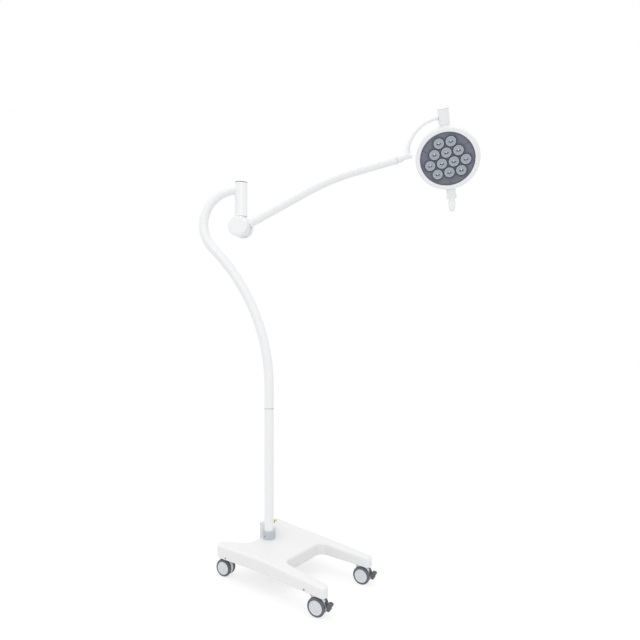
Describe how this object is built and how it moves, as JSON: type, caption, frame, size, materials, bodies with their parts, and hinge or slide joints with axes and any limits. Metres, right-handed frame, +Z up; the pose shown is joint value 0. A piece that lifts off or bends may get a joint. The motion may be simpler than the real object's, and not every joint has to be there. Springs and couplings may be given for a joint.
{
  "type": "examination lamp",
  "caption": "Mobile examination lamp: castor base, bent swivelling pole, balanced tilting arm and a round tilting LED head with a grip below it.",
  "frame": {"origin": "on the floor, under the middle of the whole lamp's box in its stored pose", "axes": "+Z up, +X towards the open front of the base, +Y to the base's left"},
  "size_m": [1.0919, 0.6987, 2.0156],
  "materials": {
    "white_moulding": "satin moulded shell",
    "white_steel": "smooth powder coat",
    "white_alloy": "painted die casting",
    "chassis_steel": "primed plate",
    "ballast": "as cast",
    "collar_grey": "satin",
    "bright_steel": "turned",
    "bearing_plastic": "self-coloured",
    "face_plate": "fine texture",
    "lens_plastic": "clear optical",
    "circuit_board": "solder resist",
    "bare_alloy": "plain",
    "inlet_plastic": "satin",
    "socket_black": "satin",
    "contact_brass": "plated",
    "earth_colour": "satin",
    "castor_white": "satin",
    "castor_tread": "matt",
    "castor_disc": "satin",
    "pedal_grey": "fine texture"
  },
  "bodies": {
    "base": {"base_cover": "white_moulding", "chassis_plate": "chassis_steel", "counterweight": "ballast", "base_screws": "bright_steel", "pole_foot": "chassis_steel", "pole_collar": "collar_grey", "lower_pole": "white_steel", "pole_bush": "bearing_plastic", "inlet_box": "inlet_plastic", "mains_inlet": "socket_black", "contact_pins": "contact_brass", "earth_shroud": "earth_colour", "driver_module": "bare_alloy"},
    "mast": {"upper_pole": "white_steel", "pole_sleeve": "white_steel", "sleeve_screws": "bright_steel", "sleeve_cap": "bearing_plastic", "sleeve_bushes": "bearing_plastic"},
    "turret": {"turret_housing": "white_alloy", "spindle": "bright_steel", "pivot_pin": "bright_steel", "drum_cap": "white_moulding"},
    "arm": {"arm_hub": "white_alloy", "arm_tube": "white_alloy", "arm_end_fitting": "white_alloy"},
    "yoke": {"yoke_socket": "white_alloy", "yoke_tube": "white_steel", "yoke_pin": "bright_steel"},
    "knuckle": {"knuckle": "white_alloy", "knuckle_cap": "white_moulding"},
    "head": {"head_stem": "bright_steel", "head_saddle": "white_moulding", "head_housing": "white_moulding", "head_bezel": "white_moulding", "front_plate": "face_plate", "led_lenses": "lens_plastic", "led_board": "circuit_board", "heat_sink": "bare_alloy", "handle_bracket": "white_alloy", "handle_pin": "bright_steel", "handle_grip": "white_moulding"},
    "rocker": {"power_rocker": "socket_black"},
    "castor_front_left": {"castor_front_left_hood": "castor_white", "castor_front_left_pins": "bright_steel"},
    "wheels_front_left": {"castor_front_left_tyres": "castor_tread", "castor_front_left_wheels": "castor_disc"},
    "pedal_front_left": {"castor_front_left_pedal": "pedal_grey"},
    "castor_front_right": {"castor_front_right_hood": "castor_white", "castor_front_right_pins": "bright_steel"},
    "wheels_front_right": {"castor_front_right_tyres": "castor_tread", "castor_front_right_wheels": "castor_disc"},
    "pedal_front_right": {"castor_front_right_pedal": "pedal_grey"},
    "castor_rear_left": {"castor_rear_left_hood": "castor_white", "castor_rear_left_pins": "bright_steel"},
    "wheels_rear_left": {"castor_rear_left_tyres": "castor_tread", "castor_rear_left_wheels": "castor_disc"},
    "castor_rear_right": {"castor_rear_right_hood": "castor_white", "castor_rear_right_pins": "bright_steel"},
    "wheels_rear_right": {"castor_rear_right_tyres": "castor_tread", "castor_rear_right_wheels": "castor_disc"}
  },
  "joints": [
    {"name": "mast_swivel", "type": "hinge", "parent": "base", "child": "mast", "pos_m": [-0.2898, -0.14052, 0.73], "axis": [0, 0, 1], "range_deg": [-150, 150]},
    {"name": "arm_swivel", "type": "hinge", "parent": "mast", "child": "turret", "pos_m": [-0.38984, -0.22038, 1.55598], "axis": [0, 0, 1], "range_deg": [-140, 155]},
    {"name": "arm_tilt", "type": "hinge", "parent": "turret", "child": "arm", "pos_m": [-0.39344, -0.21268, 1.55598], "axis": [-0.4242, 0.9056, 0], "range_deg": [-10, 60]},
    {"name": "yoke_roll", "type": "hinge", "parent": "arm", "child": "yoke", "pos_m": [0.26422, 0.09539, 1.82523], "axis": [0.8838, 0.414, 0.2181], "range_deg": [-150, 115]},
    {"name": "head_tilt", "type": "hinge", "parent": "yoke", "child": "knuckle", "pos_m": [0.43635, 0.13903, 1.97508], "axis": [0.8838, 0.414, 0.2181], "range_deg": [-115, 80]},
    {"name": "head_swivel", "type": "hinge", "parent": "knuckle", "child": "head", "pos_m": [0.43635, 0.13903, 1.97508], "axis": [0.148, -0.5509, 0.8214], "range_deg": [-150, 170]},
    {"name": "front_left_castor_swivel", "type": "hinge", "parent": "base", "child": "castor_front_left", "pos_m": [0.1032, 0.01348, 0.0768], "axis": [0, 0, 1], "continuous": true},
    {"name": "front_left_wheel_roll", "type": "hinge", "parent": "castor_front_left", "child": "wheels_front_left", "pos_m": [0.11885, 0.01681, 0.0375], "axis": [-0.2079, 0.9781, 0], "continuous": true},
    {"name": "front_right_castor_swivel", "type": "hinge", "parent": "base", "child": "castor_front_right", "pos_m": [0.1032, -0.29452, 0.0768], "axis": [0, 0, 1], "continuous": true},
    {"name": "front_right_wheel_roll", "type": "hinge", "parent": "castor_front_right", "child": "wheels_front_right", "pos_m": [0.11885, -0.29119, 0.0375], "axis": [-0.2079, 0.9781, 0], "continuous": true},
    {"name": "rear_left_castor_swivel", "type": "hinge", "parent": "base", "child": "castor_rear_left", "pos_m": [-0.4108, 0.02848, 0.0768], "axis": [0, 0, 1], "continuous": true},
    {"name": "rear_left_wheel_roll", "type": "hinge", "parent": "castor_rear_left", "child": "wheels_rear_left", "pos_m": [-0.39515, 0.03181, 0.0375], "axis": [-0.2079, 0.9781, 0], "continuous": true},
    {"name": "rear_right_castor_swivel", "type": "hinge", "parent": "base", "child": "castor_rear_right", "pos_m": [-0.4108, -0.30952, 0.0768], "axis": [0, 0, 1], "continuous": true},
    {"name": "rear_right_wheel_roll", "type": "hinge", "parent": "castor_rear_right", "child": "wheels_rear_right", "pos_m": [-0.39515, -0.30619, 0.0375], "axis": [-0.2079, 0.9781, 0], "continuous": true},
    {"name": "front_left_brake_pedal", "type": "hinge", "parent": "castor_front_left", "child": "pedal_front_left", "pos_m": [0.14624, 0.02263, 0.051], "axis": [-0.2079, 0.9781, 0], "range_deg": [0, 14]},
    {"name": "front_right_brake_pedal", "type": "hinge", "parent": "castor_front_right", "child": "pedal_front_right", "pos_m": [0.14624, -0.28537, 0.051], "axis": [-0.2079, 0.9781, 0], "range_deg": [0, 14]},
    {"name": "power_switch", "type": "hinge", "parent": "base", "child": "rocker", "pos_m": [-0.34805, -0.10402, 0.16], "axis": [0, 1, 0], "range_deg": [-7, 7]}
  ]
}
